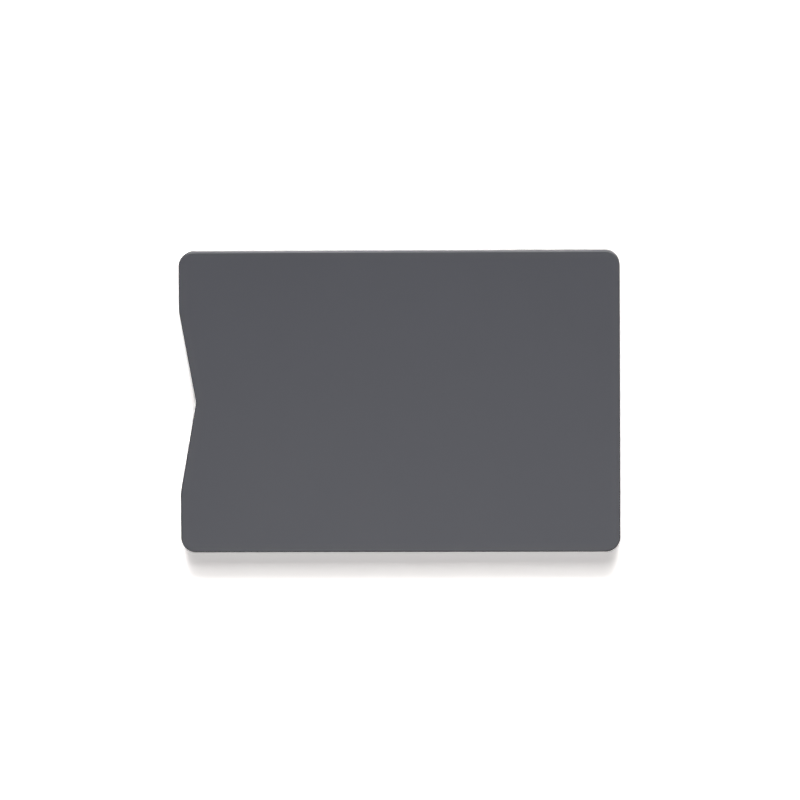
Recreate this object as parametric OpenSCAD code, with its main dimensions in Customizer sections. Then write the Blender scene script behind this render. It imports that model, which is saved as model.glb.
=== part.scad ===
// Rigid sleeve for one bank card, which blocks radio readers. It lies flat on its rear cover.
// X runs along the sleeve with the mouth at -X, Y runs across it, and Z is up through the front cover.

/* [Sleeve] */
// Length from the mouth to the closed end
sleeve_l = 88; // [80:0.5:100]
// Width across the card
sleeve_w = 60.4; // [58:0.2:80]
// Radius of the four corners seen from above
corner_r = 3; // [2:0.1:6]

/* [Covers] */
// Thickness of each cover at its rim
cover_t = 1.5; // [1.3:0.1:3]
// Radius that rounds the outer edge of each cover
edge_r = 0.4; // [0.2:0.05:0.6]
// Bevel of each cover at the seam against the frame
seam_bevel = 0.12; // [0.05:0.01:0.2]
// Bevel inside the mouth that leads the card in
lead_in = 0.45; // [0.2:0.05:0.6]

/* [Thumb notch] */
// Width of the notch between its shoulders, before rounding
notch_w = 36.2; // [20:0.2:44]
// Depth of the notch at its middle, before rounding
notch_d = 3.24; // [2:0.02:6]
// Radius that blends each shoulder into the mouth's edge
shoulder_r = 12; // [4:0.5:20]
// Radius in the bottom of the notch
apex_r = 4; // [1:0.5:6]

/* [Card frame] */
// Height of the frame, which is the height of the card slot
slot_h = 1.6; // [1.2:0.1:3]
// Width of each guide rail
rail_w = 2.8; // [2.6:0.1:4]
// Thickness of the end wall that stops the card
end_wall = 2; // [1.8:0.1:4]
// Radius in the slot's inner corners
slot_corner_r = 2.5; // [1:0.1:3]
// Length of the flare that widens the slot at the mouth
flare_l = 2; // [1:0.1:4]
// How far the flare widens each side of the slot
flare_w = 0.6; // [0.2:0.1:1]

/* [Tongue and groove] */
// Width of the tongue that runs round the frame on both faces
tongue_w = 0.7; // [0.5:0.05:0.9]
// Height of the tongue
tongue_h = 0.4; // [0.2:0.05:0.6]
// Distance of the tongue from the outer edge
tongue_inset = 0.55; // [0.5:0.05:0.7]
// Clearance round the tongue in its groove
tongue_gap = 0.05; // [0.03:0.01:0.1]
// Distance at which the tongue stops before the mouth
tongue_stop = 4; // [4:0.5:10]

/* [Grip fingers] */
// Distance from the mouth to the root of each finger
finger_root = 16; // [8:0.5:40]
// Length of each finger
finger_l = 9; // [6:0.5:20]
// Thickness of each finger
finger_t = 0.9; // [0.6:0.05:1]
// Width of the cut behind and beyond each finger
finger_cut = 0.4; // [0.3:0.05:0.5]
// How far each finger's bump stands into the slot
bump_h = 0.6; // [0.3:0.05:0.8]
// Radius of the bump
bump_r = 3; // [2:0.5:4]
// Relief above and below each finger, so that it bends freely
finger_relief = 0.1; // [0.05:0.01:0.2]

/* [Shield pocket] */
// Rim left between the pocket and the outer edge
pocket_rim = 2.2; // [2:0.1:3]
// Rim left between the pocket and the mouth
mouth_rim = 2.6; // [2:0.1:5]
// Radius of the pocket's corners
pocket_r = 1.2; // [0.6:0.1:2]
// Least radius on the corners of the sheets in the pocket
sheet_r = 0.3; // [0.1:0.1:0.6]
// Thickness of the adhesive film
tape_t = 0.1; // [0.05:0.01:0.2]
// Thickness of the aluminium shield
shield_t = 0.15; // [0.05:0.01:0.3]
// Thickness of the liner that the card slides on
liner_t = 0.3; // [0.2:0.01:0.4]
// Gap between the liner's edge and the pocket's wall
liner_gap = 0.1; // [0.05:0.01:0.2]
// Gap between the shield's edge and the pocket's wall
shield_gap = 0.4; // [0.2:0.05:1]
// Distance that the adhesive film stops short of the shield's edge
tape_margin = 0.5; // [0.2:0.05:2]

/* [Hidden] */

// How far a cut runs past the surface that it cuts
past = 0.5;
// Facets round a full circle
$fn = 96;

body_t = 2 * cover_t + slot_h;
pocket_d = tape_t + shield_t + liner_t;
slot_w = sleeve_w - 2 * rail_w;
slot_l = sleeve_l - end_wall;

// The notch: the angle of its flanks to the mouth, and the centres of its arcs
flank_a = atan(2 * notch_d / notch_w);
shoulder_y = notch_w / 2 + shoulder_r * tan(flank_a / 2);
apex_x = notch_d - apex_r / cos(flank_a);
// Steps in each of the notch's arcs and in the rounding of its edge
arc_steps = 4;
round_steps = 5;
// Half width of the mouth's edge between the rounded corners
mouth_y = sleeve_w / 2 - corner_r;
// Depth of the block that holds the notch
mouth_block_d = notch_d + corner_r;

plastic = [0.35, 0.35, 0.37];
frame_plastic = [0.31, 0.31, 0.33];
liner_plastic = [0.12, 0.12, 0.13];
aluminium = [0.80, 0.81, 0.83];
adhesive = [0.86, 0.84, 0.74];

// Everything between x = 0 at the mouth and the closed end, drawn with the mouth on the Y axis
module at_mouth() {
    translate([-sleeve_l / 2, 0, 0]) children();
}

// A rectangle with round corners that lies inset from the sleeve's outline
module outline(inset) {
    w = sleeve_w / 2;
    translate([corner_r, inset - w]) square([sleeve_l - 2 * corner_r, sleeve_w - 2 * inset]);
    translate([inset, corner_r - w]) square([sleeve_l - 2 * inset, sleeve_w - 2 * corner_r]);
    for (x = [corner_r, sleeve_l - corner_r], y = [corner_r - w, w - corner_r])
        translate([x, y]) circle(corner_r - inset);
}

// The mouth's edge from +Y to -Y: each entry is a point and the unit vector into the body there
function mouth_path() = [
    [[0, mouth_y], [1, 0]],
    for (i = [0:arc_steps]) let (a = flank_a * i / arc_steps)
        [[shoulder_r, shoulder_y] - shoulder_r * [cos(a), sin(a)], [cos(a), sin(a)]],
    for (i = [0:arc_steps]) let (a = flank_a * (1 - 2 * i / arc_steps))
        [[apex_x, 0] + apex_r * [cos(a), sin(a)], [cos(a), sin(a)]],
    for (i = [0:arc_steps]) let (a = flank_a * (i / arc_steps - 1))
        [[shoulder_r, -shoulder_y] - shoulder_r * [cos(a), sin(a)], [cos(a), sin(a)]],
    [[0, -mouth_y], [1, 0]]
];

// A profile carried along a straight edge: the profile's x points into the body, and its y is up
module edge_run(start, heading, length) {
    translate([start[0], start[1], 0]) rotate([90, 0, heading + 90]) linear_extrude(length) children();
}

// A profile carried round an outer corner, which turns left by a right angle about centre
module outer_bend(centre, heading) {
    translate([centre[0], centre[1], 0]) rotate([0, 0, heading - 90]) rotate_extrude(angle = 90)
        intersection() {
            translate([corner_r, 0]) mirror([1, 0]) children();
            translate([0, -cover_t - past]) square([corner_r + past, cover_t + 2 * past]);
        }
}

// A profile carried along the three plain sides and all four corners
module along_rim() {
    w = sleeve_w / 2;
    r = corner_r;
    edge_run([r, -w], 0, sleeve_l - 2 * r) children();
    edge_run([sleeve_l, r - w], 90, sleeve_w - 2 * r) children();
    edge_run([sleeve_l - r, w], 180, sleeve_l - 2 * r) children();
    outer_bend([r, r - w], 270) children();
    outer_bend([sleeve_l - r, r - w], 0) children();
    outer_bend([sleeve_l - r, w - r], 90) children();
    outer_bend([r, w - r], 180) children();
}

// A profile, given as a list of points, carried along the mouth's edge and through the notch
module along_mouth(profile) {
    path = mouth_path();
    m = len(profile);
    last = (len(path) - 1) * m;
    polyhedron(
        [for (p = path, q = profile) [p[0][0] + q[0] * p[1][0], p[0][1] + q[0] * p[1][1], q[1]]],
        concat(
            [[for (j = [0:m - 1]) j]],
            [for (i = [0:m:last - m], j = [0:m - 1]) let (k = (j + 1) % m)
                [i + j, i + m + j, i + m + k, i + k]],
            [[for (j = [m - 1:-1:0]) last + j]]
        )
    );
}

// The rounding of a cover's outer edge, whose top is at y = 0
function rounding() = [
    for (i = [0:round_steps]) let (a = 90 * i / round_steps) edge_r * [1 - cos(a), sin(a) - 1]
];

// What rounding takes off that edge
function rounding_points() = concat([[-past, past], [-past, -edge_r]], rounding(), [[edge_r, past]]);

// What a bevel takes off an edge whose bottom is at y = 0
function bevel_points(size) = [[-past, -past], [size + past, -past], [-past, size + past]];

// The groove or the tongue that runs round the three closed sides, clear of the mouth
module tongue_path(gap) {
    difference() {
        outline(tongue_inset - gap);
        outline(tongue_inset + tongue_w + gap);
        translate([-past, -sleeve_w / 2]) square([tongue_stop - gap + past, sleeve_w]);
    }
}

// The pocket's outline, drawn in by inset, with a front edge that follows the notch
module pocket_outline(inset) {
    front = mouth_rim + inset;
    back = sleeve_l - pocket_rim - inset;
    side = sleeve_w / 2 - pocket_rim - inset;
    r = max(pocket_r - inset, sheet_r);
    polygon([
        [front, r - side], [back, r - side], [back, side - r], [front, side - r],
        [front, notch_w / 2], [front + notch_d, 0], [front, -notch_w / 2]
    ]);
    for (y = [-side, side - r]) translate([front + r, y]) square([back - front - 2 * r, r]);
    for (x = [front + r, back - r], y = [r - side, side - r]) translate([x, y]) circle(r);
}

// The section of a cover's rim, its outer face at y = 0: rounded at the top, bevelled at the seam
module rim_section() {
    edge = rounding();
    polygon(concat(
        [for (i = [round_steps:-1:0]) edge[i]],
        [[0, seam_bevel - cover_t], [seam_bevel, -cover_t], [corner_r, -cover_t], [corner_r, 0]]
    ));
}

// The part of a cover between its two corners at the mouth, with the notch
module mouth_block() {
    path = mouth_path();
    difference() {
        linear_extrude(cover_t)
            polygon(concat([for (p = path) p[0]], [[mouth_block_d, -mouth_y], [mouth_block_d, mouth_y]]));
        translate([0, 0, cover_t]) along_mouth(rounding_points());
        along_mouth(bevel_points(lead_in));
    }
}

// One cover, its inner face at z = 0 and its outer face at z = cover_t
module cover() {
    difference() {
        union() {
            translate([0, 0, cover_t]) along_rim() rim_section();
            mouth_block();
            translate([mouth_block_d, -mouth_y, 0])
                cube([sleeve_l - corner_r - mouth_block_d, 2 * mouth_y, cover_t]);
        }
        translate([0, 0, -past]) linear_extrude(tongue_h + tongue_gap + past) tongue_path(tongue_gap);
        translate([0, 0, -past]) linear_extrude(pocket_d + past) pocket_outline(0);
    }
}

// The films and sheets in one cover's pocket, from the pocket's floor to the card slot
module shield_tape() {
    translate([0, 0, pocket_d - tape_t]) linear_extrude(tape_t) pocket_outline(shield_gap + tape_margin);
}

module shield() {
    translate([0, 0, liner_t]) linear_extrude(shield_t) pocket_outline(shield_gap);
}

module liner() {
    linear_extrude(liner_t) pocket_outline(liner_gap);
}

// The air between the guide rails, open at the mouth
module slot_air() {
    r = slot_corner_r;
    translate([-past, -slot_w / 2]) square([slot_l - r + past, slot_w]);
    translate([slot_l - 2 * r, r - slot_w / 2]) square([2 * r, slot_w - 2 * r]);
    for (y = [-1, 1]) translate([slot_l - r, y * (slot_w / 2 - r)]) circle(r);
    for (m = [0, 1]) mirror([0, m]) polygon([
        [-past, 0], [flare_l, 0], [flare_l, slot_w / 2],
        [0, slot_w / 2 + flare_w], [-past, slot_w / 2 + flare_w]
    ]);
}

// The cut that frees one grip finger from the rail at +Y, and the bump at its tip
module finger_air() {
    translate([finger_root, slot_w / 2 + finger_t]) square([finger_l + finger_cut, finger_cut]);
    translate([finger_root + finger_l, slot_w / 2 - past])
        square([finger_cut, finger_t + finger_cut + past]);
}

module finger_bump() {
    intersection() {
        translate([finger_root + finger_l - bump_r, slot_w / 2 - bump_h + bump_r]) circle(bump_r);
        translate([finger_root, slot_w / 2 - bump_h]) square([finger_l, bump_h + finger_t / 2]);
    }
}

// The relief on one face of the frame over one finger
module relief_outline() {
    translate([finger_root, slot_w / 2 - bump_h - past])
        square([finger_l + finger_cut, bump_h + past + finger_t + finger_cut]);
}

module front_cover() {
    color(plastic) at_mouth() translate([0, 0, body_t - cover_t]) cover();
}

module rear_cover() {
    color(plastic) at_mouth() translate([0, 0, cover_t]) rotate([180, 0, 0]) cover();
}

module front_shield_tape() {
    color(adhesive) at_mouth() translate([0, 0, body_t - cover_t]) shield_tape();
}

module rear_shield_tape() {
    color(adhesive) at_mouth() translate([0, 0, cover_t]) rotate([180, 0, 0]) shield_tape();
}

module front_shield() {
    color(aluminium) at_mouth() translate([0, 0, body_t - cover_t]) shield();
}

module rear_shield() {
    color(aluminium) at_mouth() translate([0, 0, cover_t]) rotate([180, 0, 0]) shield();
}

module front_liner() {
    color(liner_plastic) at_mouth() translate([0, 0, body_t - cover_t]) liner();
}

module rear_liner() {
    color(liner_plastic) at_mouth() translate([0, 0, cover_t]) rotate([180, 0, 0]) liner();
}

module card_frame() {
    color(frame_plastic) at_mouth() translate([0, 0, cover_t]) difference() {
        union() {
            linear_extrude(slot_h) difference() {
                outline(0);
                slot_air();
            }
            translate([0, 0, -tongue_h]) linear_extrude(slot_h + 2 * tongue_h) tongue_path(0);
            linear_extrude(slot_h) for (m = [0, 1]) mirror([0, m]) finger_bump();
        }
        for (m = [0, 1]) mirror([0, m]) {
            translate([0, 0, -past]) linear_extrude(slot_h + 2 * past) finger_air();
            translate([0, 0, -past]) linear_extrude(past + finger_relief) relief_outline();
            translate([0, 0, slot_h - finger_relief]) linear_extrude(past) relief_outline();
        }
    }
}

front_cover();
front_shield_tape();
front_shield();
front_liner();
card_frame();
rear_liner();
rear_shield();
rear_shield_tape();
rear_cover();
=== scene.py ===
import math

import bmesh
import bpy
import numpy as np
from mathutils import Matrix, Vector
from mathutils.geometry import tessellate_polygon


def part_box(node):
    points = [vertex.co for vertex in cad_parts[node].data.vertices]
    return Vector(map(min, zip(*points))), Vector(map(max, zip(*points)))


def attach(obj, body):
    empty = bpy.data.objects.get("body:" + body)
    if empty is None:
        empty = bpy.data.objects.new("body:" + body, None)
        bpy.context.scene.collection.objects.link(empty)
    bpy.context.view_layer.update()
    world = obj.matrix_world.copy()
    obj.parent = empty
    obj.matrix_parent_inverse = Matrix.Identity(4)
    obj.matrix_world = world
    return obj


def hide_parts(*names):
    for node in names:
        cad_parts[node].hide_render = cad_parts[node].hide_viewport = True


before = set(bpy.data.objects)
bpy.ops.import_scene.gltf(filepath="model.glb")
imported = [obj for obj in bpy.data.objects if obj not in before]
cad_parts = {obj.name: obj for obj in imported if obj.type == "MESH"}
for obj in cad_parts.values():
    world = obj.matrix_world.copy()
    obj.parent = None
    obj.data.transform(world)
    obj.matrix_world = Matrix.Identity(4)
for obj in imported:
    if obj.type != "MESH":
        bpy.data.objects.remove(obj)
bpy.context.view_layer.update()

# Front and rear cover: two like mouldings of dark grey plastic, welded to the frame between them.
# Each has a rounded outer edge, a V-shaped thumb notch, a groove for the frame's tongue and a
# shallow pocket for the shield. The surface is the edge's section carried round the outline.
MM = 0.001
front_low, front_high = (np.array(corner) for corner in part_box("front_cover"))
rear_low, rear_high = (np.array(corner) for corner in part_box("rear_cover"))
mouth_x, end_x = front_low[0], front_high[0]
half_w = front_high[1]

corner_r = 3 * MM
edge_r = 0.4 * MM
seam_bevel = 0.12 * MM
lead_in = 0.45 * MM
lead_in_fade = 0.5 * MM
notch_w = 36.2 * MM
notch_d = 3.24 * MM
shoulder_r = 12 * MM
apex_r = 4 * MM
tongue_w = 0.7 * MM
tongue_h = 0.4 * MM
tongue_inset = 0.55 * MM
tongue_gap = 0.05 * MM
tongue_stop = 4 * MM
pocket_rim = 2.2 * MM
mouth_rim = 2.6 * MM
pocket_r = 1.2 * MM
pocket_d = 0.55 * MM
worn_and_highlit_band = 1.6 * MM
least_edge_wear_and_highlight = 0.35
bevel_wear_and_highlight = 0.5

corner_steps = 28
notch_steps = 20
edge_steps = 12
merge_gap = 1e-7
QUARTER = math.pi / 2
flip_y = np.array([1, -1])


def arc(centre, radius, start, end, steps):
    """Points at centre + radius * (cos a, sin a), with a from start to end in radians, and the unit
    vectors (cos a, sin a)."""
    a = np.linspace(start, end, steps + 1)
    out = np.stack([np.cos(a), np.sin(a)], axis=1)
    return np.array(centre) + radius * out, out


def outline_path():
    """The outline, anticlockwise from the mouth's +Y end: points, inward unit vectors, and 1 at the mouth.
    The notch is two flanks at the angle atan(2 * depth / width) to the mouth, blended by an arc on each
    shoulder and one at the apex. Each corner is a quarter circle."""
    flank = math.atan(2 * notch_d / notch_w)
    shoulder_y = notch_w / 2 + shoulder_r * math.tan(flank / 2)
    shoulder_x = mouth_x + shoulder_r
    apex_x = mouth_x + notch_d - apex_r / math.cos(flank)
    left, right, top = mouth_x + corner_r, end_x - corner_r, half_w - corner_r
    mouth_end = np.array([[mouth_x, top - lead_in_fade]])
    upper, upper_out = arc((shoulder_x, shoulder_y), shoulder_r, math.pi, math.pi + flank, notch_steps)
    apex, apex_out = arc((apex_x, 0), apex_r, flank, -flank, notch_steps)
    lower, lower_out = arc((shoulder_x, -shoulder_y), shoulder_r, math.pi - flank, math.pi, notch_steps)
    corners = [
        arc(centre, corner_r, start * QUARTER, (start + 1) * QUARTER, corner_steps)
        for centre, start in (((left, -top), 2), ((right, -top), 3), ((right, top), 0), ((left, top), 1))
    ]
    inwards = np.array([[1.0, 0.0]])
    mouth = np.concatenate([mouth_end, upper, apex, lower, mouth_end * flip_y])
    mouth_inward = np.concatenate([inwards, -upper_out, apex_out, -lower_out, inwards])
    points = np.concatenate([mouth] + [c[0] for c in corners])
    inward = np.concatenate([mouth_inward] + [-c[1] for c in corners])
    return points, inward, (np.arange(len(points)) < len(mouth)).astype(float)


def ring_strip(rings, wear_and_highlight=None):
    """Quads between closed rings of points, each an array of N by 3: point i of a ring joins point i of the
    next. The amount of edge scuffing and painted highlight is given once per ring."""
    count = len(rings[0])
    i = np.arange(count)
    j = np.roll(i, -1)
    faces = [
        np.stack([k * count + i, (k + 1) * count + i, (k + 1) * count + j, k * count + j], axis=1)
        for k in range(len(rings) - 1)
    ]
    wear_and_highlight = np.zeros(len(rings)) if wear_and_highlight is None else np.array(wear_and_highlight)
    return np.concatenate(rings), np.concatenate(faces).tolist(), np.repeat(wear_and_highlight, count)


def at_height(points, z):
    """Plane points of N by 2 lifted to the height z."""
    return np.column_stack([points, np.broadcast_to(z, len(points))])


def wall(loop, z_from, z_to):
    """The upright wall that stands on a closed loop of plane points."""
    return ring_strip([at_height(loop, z_from), at_height(loop, z_to)])


def cap(loops, z):
    """The flat face at height z inside the first closed loop and outside the others, cut into triangles."""
    flat = [[Vector((x, y, 0)) for x, y in loop] for loop in loops]
    points = at_height(np.concatenate(loops), z)
    return points, [list(t) for t in tessellate_polygon(flat)], np.zeros(len(points))


def solid_from(name, patches, smooth_below=25):
    """One closed mesh from patches of vertices, faces and wear: shared points are merged, faces turned out.
    Edges under smooth_below degrees are shaded round, and large flat faces keep their own normal."""
    faces = []
    start = 0
    for points, quads, _ in patches:
        faces += [[start + k for k in face] for face in quads]
        start += len(points)
    mesh = bpy.data.meshes.new(name)
    mesh.from_pydata(np.concatenate([patch[0] for patch in patches]).tolist(), [], faces)
    edge = mesh.attributes.new("edge", "FLOAT", "POINT")
    edge.data.foreach_set("value", np.concatenate([patch[2] for patch in patches]))
    shell = bmesh.new()
    shell.from_mesh(mesh)
    bmesh.ops.remove_doubles(shell, verts=shell.verts, dist=merge_gap)
    # The first pass can leave a face without area beside one that it removes, so a second one follows.
    for _ in range(2):
        bmesh.ops.dissolve_degenerate(shell, dist=merge_gap, edges=shell.edges)
    bmesh.ops.recalc_face_normals(shell, faces=shell.faces)
    shell.to_mesh(mesh)
    shell.free()
    mesh.shade_smooth()
    mesh.set_sharp_from_angle(angle=math.radians(smooth_below))
    piece = bpy.data.objects.new(name, mesh)
    bpy.context.scene.collection.objects.link(piece)
    even = piece.modifiers.new("even_shading", "WEIGHTED_NORMAL")
    even.keep_sharp = True
    return piece


def round_box(x_from, x_to, side, radius):
    """The right-hand part of a rectangle whose corners are quarter circles, anticlockwise from
    (x_from, -side) to (x_from, side)."""
    lower = arc((x_to - radius, radius - side), radius, -QUARTER, 0, corner_steps)[0]
    return np.concatenate([[[x_from, -side]], lower, lower[::-1] * flip_y, [[x_from, side]]])


def tongue_loop(gap):
    """The tongue's outline, or with a gap the groove's: the band between two round boxes, which ends
    short of the mouth."""
    start = mouth_x + tongue_stop - gap
    outer = tongue_inset - gap
    inner = tongue_inset + tongue_w + gap
    return np.concatenate([
        round_box(start, end_x - outer, half_w - outer, corner_r - outer),
        round_box(start, end_x - inner, half_w - inner, corner_r - inner)[::-1],
    ])


def pocket_loop():
    """The pocket's outline: a round box whose front edge follows the notch."""
    front, side = mouth_x + mouth_rim, half_w - pocket_rim
    back = round_box(front + pocket_r, end_x - pocket_rim, side, pocket_r)[1:-1]
    upper = arc((front + pocket_r, side - pocket_r), pocket_r, QUARTER, math.pi, corner_steps)[0]
    notch = [[front, notch_w / 2], [front + notch_d, 0], [front, -notch_w / 2]]
    return np.concatenate([back, upper, notch, upper[::-1] * flip_y])


def cover(name, seam_z, face_z):
    """A cover between its inner face at seam_z and its outer face at face_z. At each outline point the
    section runs from the flat over a quarter circle of edge_r, down the side and over the bevel at the
    seam. The scuffing, and the painted highlight laid with it, grows from none on the flat to full in the
    middle of the quarter circle."""
    points, inward, at_mouth = outline_path()
    up = np.sign(face_z - seam_z)
    bevel = seam_bevel + (lead_in - seam_bevel) * at_mouth
    turn = np.linspace(0, QUARTER, edge_steps + 1)
    rings = [at_height(points + inward * (edge_r + worn_and_highlit_band), face_z)]
    rings += [
        at_height(points + inward * edge_r * (1 - math.sin(t)), face_z - up * edge_r * (1 - math.cos(t)))
        for t in turn
    ]
    seam_ring = points + inward * bevel[:, None]
    rings += [at_height(points, seam_z + up * bevel), at_height(seam_ring, seam_z)]
    # The edge mask is partly scuffing and partly a painted highlight along the rounded edge.
    edge_wear_and_highlight = least_edge_wear_and_highlight + (1 - least_edge_wear_and_highlight) * np.sin(2 * turn)
    wear_and_highlight = [0] + list(edge_wear_and_highlight) + [bevel_wear_and_highlight, 0]
    groove = tongue_loop(tongue_gap)
    groove_z = seam_z + up * (tongue_h + tongue_gap)
    pocket = pocket_loop()
    pocket_z = seam_z + up * pocket_d
    return solid_from(name, [
        cap([rings[0][:, :2]], face_z),
        ring_strip(rings, wear_and_highlight),
        cap([seam_ring, groove, pocket], seam_z),
        wall(groove, seam_z, groove_z),
        cap([groove], groove_z),
        wall(pocket, seam_z, pocket_z),
        cap([pocket], pocket_z),
    ])


def add_node(tree, kind, **values):
    """A node of that kind, with named settings, or named inputs where the node has no such setting."""
    node = tree.nodes.new(kind)
    for key, value in values.items():
        if hasattr(node, key):
            setattr(node, key, value)
        else:
            node.inputs[key.replace("_", " ")].default_value = value
    return node


def new_group(name, inputs, outputs):
    """A shader node group whose inputs are given as name: (type, default) and outputs as name: type.
    Returns its tree and its two ends."""
    tree = bpy.data.node_groups.new(name, "ShaderNodeTree")
    for label, (kind, default) in inputs.items():
        tree.interface.new_socket(label, in_out="INPUT", socket_type=kind).default_value = default
    for label, kind in outputs.items():
        tree.interface.new_socket(label, in_out="OUTPUT", socket_type=kind)
    return tree, tree.nodes.new("NodeGroupInput"), tree.nodes.new("NodeGroupOutput")


def place_group(tree, group, **values):
    """That node group, placed in a material's tree with its own values."""
    node = tree.nodes.new("ShaderNodeGroup")
    node.node_tree = group
    for key, value in values.items():
        node.inputs[key.replace("_", " ")].default_value = value
    return node


def spark_grain():
    """The fine grain that a spark-eroded mould leaves: craters of smooth cells under a little noise, and
    the slow change of tone over a moulded face. Both sizes are in metres."""
    tree, given, out = new_group(
        "spark_grain",
        {"Cell Size": ("NodeSocketFloat", 0.0002), "Patch Size": ("NodeSocketFloat", 0.02)},
        {"Height": "NodeSocketFloat", "Patch": "NodeSocketFloat"},
    )
    link = tree.links.new
    crater_share = 0.7
    place = add_node(tree, "ShaderNodeTexCoord")
    cell_scale = add_node(tree, "ShaderNodeMath", operation="DIVIDE")
    cell_scale.inputs[0].default_value = 1
    link(given.outputs["Cell Size"], cell_scale.inputs[1])
    patch_scale = add_node(tree, "ShaderNodeMath", operation="DIVIDE")
    patch_scale.inputs[0].default_value = 1
    link(given.outputs["Patch Size"], patch_scale.inputs[1])
    craters = add_node(tree, "ShaderNodeTexVoronoi", feature="SMOOTH_F1", Smoothness=0.8)
    noise = add_node(tree, "ShaderNodeTexNoise", Detail=2, Roughness=0.55)
    patch = add_node(tree, "ShaderNodeTexNoise", Detail=3, Roughness=0.45)
    for texture, scale in ((craters, cell_scale), (noise, cell_scale), (patch, patch_scale)):
        link(place.outputs["Object"], texture.inputs["Vector"])
        link(scale.outputs[0], texture.inputs["Scale"])
    height = add_node(tree, "ShaderNodeMath", operation="MULTIPLY_ADD")
    link(craters.outputs["Distance"], height.inputs[0])
    height.inputs[1].default_value = crater_share
    link(noise.outputs["Fac"], height.inputs[2])
    link(height.outputs[0], out.inputs["Height"])
    link(patch.outputs["Fac"], out.inputs["Patch"])
    return tree


def edge_scuff_and_highlight():
    """Handling polishes a moulded edge: a mask from the piece's edge attribute, broken up by noise. The
    same mask also places a painted highlight along the edge.
    """
    tree, given, out = new_group(
        "edge_scuff_and_highlight",
        {"Amount": ("NodeSocketFloat", 0.5), "Break Size": ("NodeSocketFloat", 0.003)},
        {"Mask": "NodeSocketFloat"},
    )
    link = tree.links.new
    place = add_node(tree, "ShaderNodeTexCoord")
    worn_and_highlit = add_node(tree, "ShaderNodeAttribute", attribute_name="edge")
    scale = add_node(tree, "ShaderNodeMath", operation="DIVIDE")
    scale.inputs[0].default_value = 1
    link(given.outputs["Break Size"], scale.inputs[1])
    noise = add_node(tree, "ShaderNodeTexNoise", Detail=4, Roughness=0.6)
    link(place.outputs["Object"], noise.inputs["Vector"])
    link(scale.outputs[0], noise.inputs["Scale"])
    broken = add_node(tree, "ShaderNodeMapRange", From_Min=0.3, From_Max=0.7, To_Min=0.35, To_Max=1.0)
    link(noise.outputs["Fac"], broken.inputs["Value"])
    mask = add_node(tree, "ShaderNodeMath", operation="MULTIPLY")
    link(worn_and_highlit.outputs["Fac"], mask.inputs[0])
    link(broken.outputs[0], mask.inputs[1])
    amount = add_node(tree, "ShaderNodeMath", operation="MULTIPLY", use_clamp=True)
    link(mask.outputs[0], amount.inputs[0])
    link(given.outputs["Amount"], amount.inputs[1])
    link(amount.outputs[0], out.inputs["Mask"])
    return tree


grain_group = spark_grain()
wear_and_highlight_group = edge_scuff_and_highlight()


def new_material(name):
    """A material with its tree and its Principled shader."""
    material = bpy.data.materials.new(name)
    material.use_nodes = True
    return material, material.node_tree, material.node_tree.nodes["Principled BSDF"]


def drift(tree, pattern, tones, roughness):
    """A colour between two tones and a roughness between two values, which both follow the pattern."""
    tone = add_node(tree, "ShaderNodeMix", data_type="RGBA")
    tone.inputs["A"].default_value = [*tones[0], 1]
    tone.inputs["B"].default_value = [*tones[1], 1]
    tree.links.new(pattern, tone.inputs["Factor"])
    gloss = add_node(tree, "ShaderNodeMapRange", From_Min=0.3, From_Max=0.7,
                     To_Min=roughness[0], To_Max=roughness[1])
    tree.links.new(pattern, gloss.inputs["Value"])
    return tone.outputs["Result"], gloss.outputs[0]


def add_bump(tree, height, depth, strength=1.0):
    """A bump on the material's shader, where a height of 1 stands depth metres high."""
    bump = add_node(tree, "ShaderNodeBump", Strength=strength, Distance=depth)
    tree.links.new(height, bump.inputs["Height"])
    tree.links.new(bump.outputs["Normal"], tree.nodes["Principled BSDF"].inputs["Normal"])


def moulded_plastic(name, colour, tone_change, roughness, cell_size, grain_depth):
    """Satin plastic moulded in colour: the tone drifts by tone_change over a face, the grain is grain_depth
    deep in metres, and handled edges are a little greyer and smoother from scuffing, and lighter, partly
    from scuffing and partly as a painted highlight on the rounded edge."""
    satin_change = 0.02
    polish_gain = 0.04
    rub_and_highlight_lightness = 1.6
    material, tree, shader = new_material(name)
    link = tree.links.new
    shader.inputs["Specular IOR Level"].default_value = 0.35
    grain = place_group(tree, grain_group, Cell_Size=cell_size, Patch_Size=20 * MM)
    polish_and_highlight = place_group(tree, wear_and_highlight_group, Amount=0.6, Break_Size=3 * MM)
    tones = [[c * (1 + change) for c in colour] for change in (-tone_change, tone_change)]
    satin = (roughness - satin_change, roughness + satin_change)
    tone, gloss = drift(tree, grain.outputs["Patch"], tones, satin)
    # The edge is lightened where the mask is high: partly scuffing, partly a painted highlight on the
    # rounded rim.
    rubbed_and_highlit = add_node(tree, "ShaderNodeMix", data_type="RGBA")
    rubbed_and_highlit.inputs["B"].default_value = [rub_and_highlight_lightness * sum(colour) / 3] * 3 + [1]
    link(polish_and_highlight.outputs["Mask"], rubbed_and_highlit.inputs["Factor"])
    link(tone, rubbed_and_highlit.inputs["A"])
    link(rubbed_and_highlit.outputs["Result"], shader.inputs["Base Color"])
    smooth = add_node(tree, "ShaderNodeMix", data_type="FLOAT")
    smooth.inputs["B"].default_value = roughness - polish_gain
    link(polish_and_highlight.outputs["Mask"], smooth.inputs["Factor"])
    link(gloss, smooth.inputs["A"])
    link(smooth.outputs["Result"], shader.inputs["Roughness"])
    add_bump(tree, grain.outputs["Height"], grain_depth)
    return material


cover_plastic = moulded_plastic(
    "cover_plastic", colour=(0.0457, 0.0472, 0.0580), tone_change=0.04, roughness=0.32,
    cell_size=0.16 * MM, grain_depth=0.0070 * MM,
)

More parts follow.
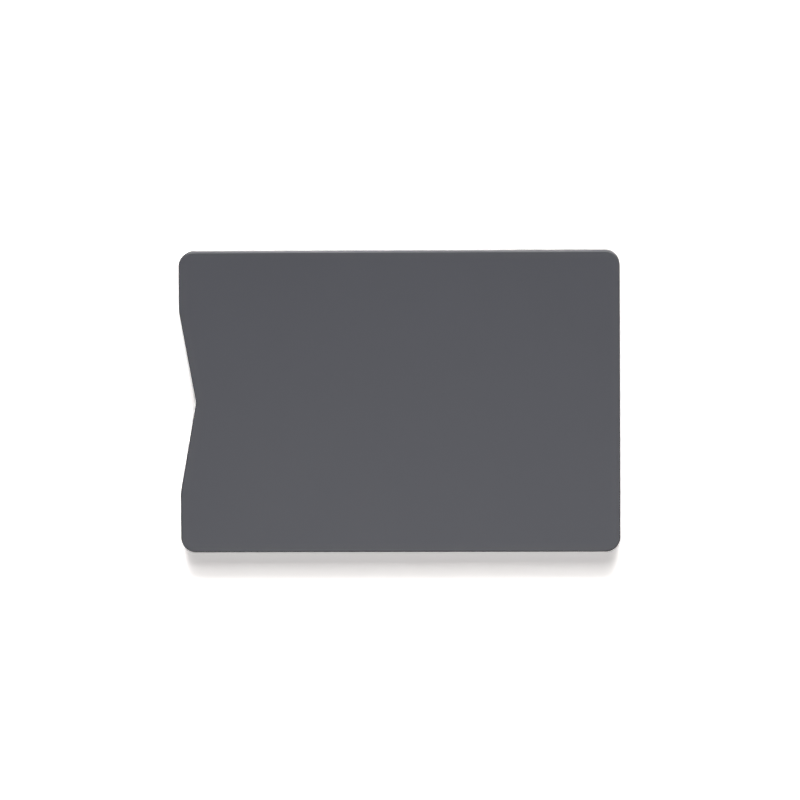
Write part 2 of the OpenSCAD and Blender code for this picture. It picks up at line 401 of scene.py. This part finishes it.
front_skin = cover("front_cover_moulding", front_low[2], front_high[2])
rear_skin = cover("rear_cover_moulding", rear_high[2], rear_low[2])
for skin, node in ((front_skin, "front_cover"), (rear_skin, "rear_cover")):
    skin.data.materials.append(cover_plastic)
    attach(skin, "root")
    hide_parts(node)

# Card frame: a U-shaped moulding of the same plastic, a little darker, that holds the covers apart.
# A tongue on both faces sits in the covers' grooves. Each rail has a flared end at the mouth and a
# finger, cut free of the rail, whose bump grips the card's edge.
rail_w = 2.8 * MM
end_wall = 2 * MM
slot_corner_r = 2.5 * MM
flare_l = 2 * MM
flare_w = 0.6 * MM
finger_root = 16 * MM
finger_l = 9 * MM
finger_t = 0.9 * MM
finger_cut = 0.4 * MM
bump_h = 0.6 * MM
bump_r = 3 * MM
bump_steps = 24
finger_relief = 0.1 * MM
slot_side = half_w - rail_w


def rail_tip():
    """Where the flare's line meets the rounded corner at the mouth, at +Y: the root of the quadratic
    |start + k * run - centre| = corner_r for the share k of the line."""
    start = np.array([mouth_x, slot_side + flare_w])
    run = np.array([flare_l, -flare_w])
    from_centre = start - [mouth_x + corner_r, half_w - corner_r]
    a, b, c = run @ run, 2 * run @ from_centre, from_centre @ from_centre - corner_r ** 2
    return start + run * (-b - math.sqrt(b * b - 4 * a * c)) / (2 * a)


def finger_loop():
    """One finger at +Y seen from above, with the arc of its bump on the slot's side."""
    root = mouth_x + finger_root
    tip = root + finger_l
    back = slot_side + finger_t
    reach = math.acos((bump_r - bump_h) / bump_r)
    centre = (tip - bump_r, slot_side - bump_h + bump_r)
    bump = arc(centre, bump_r, -QUARTER - reach, -QUARTER + reach, bump_steps)[0]
    return np.concatenate([[[root, slot_side]], bump, [[tip, slot_side], [tip, back], [root, back]]])


def frame_loop(with_finger):
    """The U-shaped outline, anticlockwise from the lower rail's tip: with the fingers at mid height, and
    without them where they stand back from the face."""
    tip = rail_tip()
    centre = np.array([mouth_x + corner_r, half_w - corner_r])
    tip_angle = math.atan2(*(tip - centre)[::-1])
    upper_corner = arc(centre, corner_r, QUARTER, tip_angle, corner_steps)[0]
    outer = round_box(centre[0], end_x, half_w, corner_r)[1:-1]
    root, cut_end = mouth_x + finger_root, mouth_x + finger_root + finger_l + finger_cut
    back = slot_side + finger_t
    cut_back = back + finger_cut
    finger = finger_loop() if with_finger else np.array([[root, slot_side], [root, back]])
    slot_centre = (end_x - end_wall - slot_corner_r, slot_side - slot_corner_r)
    slot_corner = arc(slot_centre, slot_corner_r, QUARTER, 0, corner_steps)[0]
    inner = np.concatenate([
        [[mouth_x + flare_l, slot_side]], finger,
        [[root, cut_back], [cut_end, cut_back], [cut_end, slot_side]], slot_corner,
    ])
    return np.concatenate([upper_corner[::-1] * flip_y, outer, upper_corner, inner, inner[::-1] * flip_y])


def card_frame(name):
    """The frame between the seams, as walls and flat faces at each level, with a tongue on either side."""
    low, high = rear_high[2], front_low[2]
    full, cut_back = frame_loop(True), frame_loop(False)
    tongue = tongue_loop(0)
    patches = [
        wall(cut_back, low, low + finger_relief),
        wall(full, low + finger_relief, high - finger_relief),
        wall(cut_back, high - finger_relief, high),
    ]
    for face, out in ((low, -1), (high, 1)):
        shelf = face - out * finger_relief
        patches += [
            cap([cut_back, tongue], face),
            wall(tongue, face, face + out * tongue_h),
            cap([tongue], face + out * tongue_h),
            cap([finger_loop()], shelf),
            cap([finger_loop() * flip_y], shelf),
        ]
    return solid_from(name, patches)


frame_plastic = moulded_plastic(
    "frame_plastic", colour=(0.0445, 0.0459, 0.0562), tone_change=0.04, roughness=0.32,
    cell_size=0.13 * MM, grain_depth=0.0060 * MM,
)
frame_body = card_frame("card_frame_moulding")
frame_body.data.materials.append(frame_plastic)
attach(frame_body, "root")
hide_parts("card_frame")

# Front and rear liner: die-cut black plastic film that lies flush with the cover's inner face, so that
# the card slides on plastic. It shows only inside the mouth.


def dress(nodes, material):
    """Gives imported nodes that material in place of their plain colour."""
    for node in nodes:
        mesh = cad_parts[node].data
        mesh.materials.clear()
        mesh.materials.append(material)


liner_film = moulded_plastic(
    "liner_film", colour=(0.018, 0.018, 0.020), tone_change=0.10, roughness=0.50,
    cell_size=0.10 * MM, grain_depth=0.0012 * MM,
)
dress(["front_liner", "rear_liner"], liner_film)

# Front and rear shield: bright rolled aluminium sheet, cut to the pocket, behind each liner. The rolling
# grain runs along the sleeve.


def streaks(tree, along, across):
    """Noise drawn out along X: along and across are the streaks' length and width in metres."""
    place = add_node(tree, "ShaderNodeTexCoord")
    stretch = add_node(tree, "ShaderNodeMapping")
    stretch.inputs["Scale"].default_value = (1 / along, 1 / across, 1 / across)
    noise = add_node(tree, "ShaderNodeTexNoise", Scale=1.0, Detail=4, Roughness=0.6)
    tree.links.new(place.outputs["Object"], stretch.inputs["Vector"])
    tree.links.new(stretch.outputs[0], noise.inputs["Vector"])
    return noise.outputs["Fac"]


sheet_tones = ((0.74, 0.75, 0.77), (0.86, 0.87, 0.89))
shield_metal, tree, shader = new_material("shield_aluminium")
shader.inputs["Metallic"].default_value = 1.0
rolled = streaks(tree, along=12 * MM, across=0.05 * MM)
sheet_tone, sheet_gloss = drift(tree, rolled, sheet_tones, roughness=(0.22, 0.36))
tree.links.new(sheet_tone, shader.inputs["Base Color"])
tree.links.new(sheet_gloss, shader.inputs["Roughness"])
add_bump(tree, rolled, depth=0.001 * MM)
dress(["front_shield", "rear_shield"], shield_metal)

# Front and rear tape: pale transfer adhesive that bonds each shield to the floor of its pocket. It is
# covered by the shield and shows from no side.
glue_tones = ((0.66, 0.62, 0.47), (0.78, 0.76, 0.63))
adhesive, tree, shader = new_material("adhesive_film")
mottle = place_group(tree, grain_group, Cell_Size=0.6 * MM, Patch_Size=8 * MM)
glue_tone, glue_gloss = drift(tree, mottle.outputs["Patch"], glue_tones, roughness=(0.15, 0.30))
tree.links.new(glue_tone, shader.inputs["Base Color"])
tree.links.new(glue_gloss, shader.inputs["Roughness"])
add_bump(tree, mottle.outputs["Height"], depth=0.004 * MM, strength=0.5)
dress(["front_shield_tape", "rear_shield_tape"], adhesive)

# The studio: a white sweep under the sleeve, which shows white to the camera and in reflections and
# still takes the sleeve's shadow, and a plain white room round it.
floor_half = 2.0
paper_tone = (0.80, 0.80, 0.80, 1)
seen_tone = (2.05, 1.99, 1.96, 1)
shadow_reach = 70 * MM
white_from = 160 * MM
room_light = 0.012
floor_mesh = bpy.data.meshes.new("studio_floor")
floor_mesh.from_pydata(
    [(-floor_half, -floor_half, 0), (floor_half, -floor_half, 0),
     (floor_half, floor_half, 0), (-floor_half, floor_half, 0)],
    [], [(0, 1, 2, 3)],
)
floor = bpy.data.objects.new("studio_floor", floor_mesh)
bpy.context.scene.collection.objects.link(floor)


def seen_directly(tree):
    """1 for a camera, glossy or transmission ray, so that the white ground also shows in what mirrors it."""
    path = add_node(tree, "ShaderNodeLightPath")
    total = path.outputs["Is Camera Ray"]
    for name in ("Is Glossy Ray", "Is Transmission Ray"):
        either = add_node(tree, "ShaderNodeMath", operation="MAXIMUM")
        tree.links.new(total, either.inputs[0])
        tree.links.new(path.outputs[name], either.inputs[1])
        total = either.outputs[0]
    return total


paper = bpy.data.materials.new("studio_paper")
paper.use_nodes = True
tree = paper.node_tree
tree.nodes.remove(tree.nodes["Principled BSDF"])
matt = add_node(tree, "ShaderNodeBsdfDiffuse")
exposure = add_node(tree, "ShaderNodeMix", data_type="RGBA")
exposure.inputs["A"].default_value = paper_tone
exposure.inputs["B"].default_value = seen_tone
seen = seen_directly(tree)
tree.links.new(seen, exposure.inputs["Factor"])
tree.links.new(exposure.outputs["Result"], matt.inputs["Color"])
place = add_node(tree, "ShaderNodeTexCoord")
reach = add_node(tree, "ShaderNodeVectorMath", operation="LENGTH")
tree.links.new(place.outputs["Object"], reach.inputs[0])
away = add_node(tree, "ShaderNodeMapRange", interpolation_type="SMOOTHSTEP",
                From_Min=shadow_reach, From_Max=white_from)
tree.links.new(reach.outputs["Value"], away.inputs["Value"])
fade = add_node(tree, "ShaderNodeMath", operation="MULTIPLY")
tree.links.new(seen, fade.inputs[0])
tree.links.new(away.outputs["Result"], fade.inputs[1])
plain_white = add_node(tree, "ShaderNodeEmission", Strength=1.0)
blend = add_node(tree, "ShaderNodeMixShader")
tree.links.new(fade.outputs[0], blend.inputs["Fac"])
tree.links.new(matt.outputs[0], blend.inputs[1])
tree.links.new(plain_white.outputs[0], blend.inputs[2])
tree.links.new(blend.outputs[0], tree.nodes["Material Output"].inputs["Surface"])
floor_mesh.materials.append(paper)

world = bpy.data.worlds.new("studio_room")
world.use_nodes = True
tree = world.node_tree
background = tree.nodes["Background"]
background.inputs["Color"].default_value = (1, 1, 1, 1)
level = add_node(tree, "ShaderNodeMapRange", To_Min=room_light, To_Max=1.0)
tree.links.new(seen_directly(tree), level.inputs["Value"])
tree.links.new(level.outputs[0], background.inputs["Strength"])
bpy.context.scene.world = world


def soft_box(name, place, size, power, mirrored=True, lights_matt=True):
    """A soft light of that width and height in metres and power in watts, at place and turned to the
    sleeve. Either of its two effects can be left out: its image in gloss, and its light on matt colour."""
    light = bpy.data.lights.new(name, "AREA")
    light.shape = "RECTANGLE"
    light.size, light.size_y = size
    light.energy = power
    lamp = bpy.data.objects.new(name, light)
    lamp.location = place
    lamp.rotation_euler = (-Vector(place)).to_track_quat("-Z", "Y").to_euler()
    lamp.visible_glossy = mirrored
    lamp.visible_diffuse = lights_matt
    bpy.context.scene.collection.objects.link(lamp)


# The key light casts the shadow, and the high light above it softens the shadow's outer edge. Neither is
# mirrored, because their glare would wash out the flat face in a low view. The rim light shows only as
# a reflection in the rounded edges, and the other three fill the face and the shadow.
soft_box("key_light", place=(0, 1.450, 0.676), size=(0.9, 0.9), power=33, mirrored=False)
soft_box("high_light", place=(0, 1.151, 1.111), size=(1.5, 1.0), power=11, mirrored=False)
soft_box("rim_light", place=(0, 1.03, 1.23), size=(1.5, 0.7), power=34, lights_matt=False)
soft_box("overhead_light", place=(0, -0.13, 0.475), size=(0.30, 0.20), power=0.43)
soft_box("front_fill", place=(0.05, -0.80, 0.50), size=(0.3, 0.1), power=1.0)
soft_box("right_fill", place=(0.80, -0.10, 0.50), size=(0.3, 0.1), power=0.4)

# The camera: one metre away and nearly straight above the sleeve, leaning a little to +X and +Y, so that
# the upper side wall shows as a narrow strip.
camera_distance = 1.00
lean_x = math.radians(2.3)
lean_y = math.radians(5.0)
roll = math.radians(0.37)
view_width = 0.15964
sensor_width = 36.0
aim_x = 0.1 * MM
aim_y = 0.4 * MM
aim = Vector((aim_x, aim_y, front_high[2]))
toward = Vector((math.tan(lean_x), math.tan(lean_y), 1)).normalized()
camera_data = bpy.data.cameras.new("studio_camera")
camera_data.sensor_width = sensor_width
camera_data.lens = sensor_width * camera_distance / view_width
camera_data.clip_start = 0.01
camera = bpy.data.objects.new("studio_camera", camera_data)
right = Vector((0, 1, 0)).cross(toward).normalized()
up = toward.cross(right)
turn = Matrix((right, up, toward)).transposed() @ Matrix.Rotation(-roll, 3, "Z")
camera.matrix_world = Matrix.Translation(aim + toward * camera_distance) @ turn.to_4x4()
bpy.context.scene.collection.objects.link(camera)
bpy.context.scene.camera = camera
bpy.context.scene.view_settings.view_transform = "Standard"
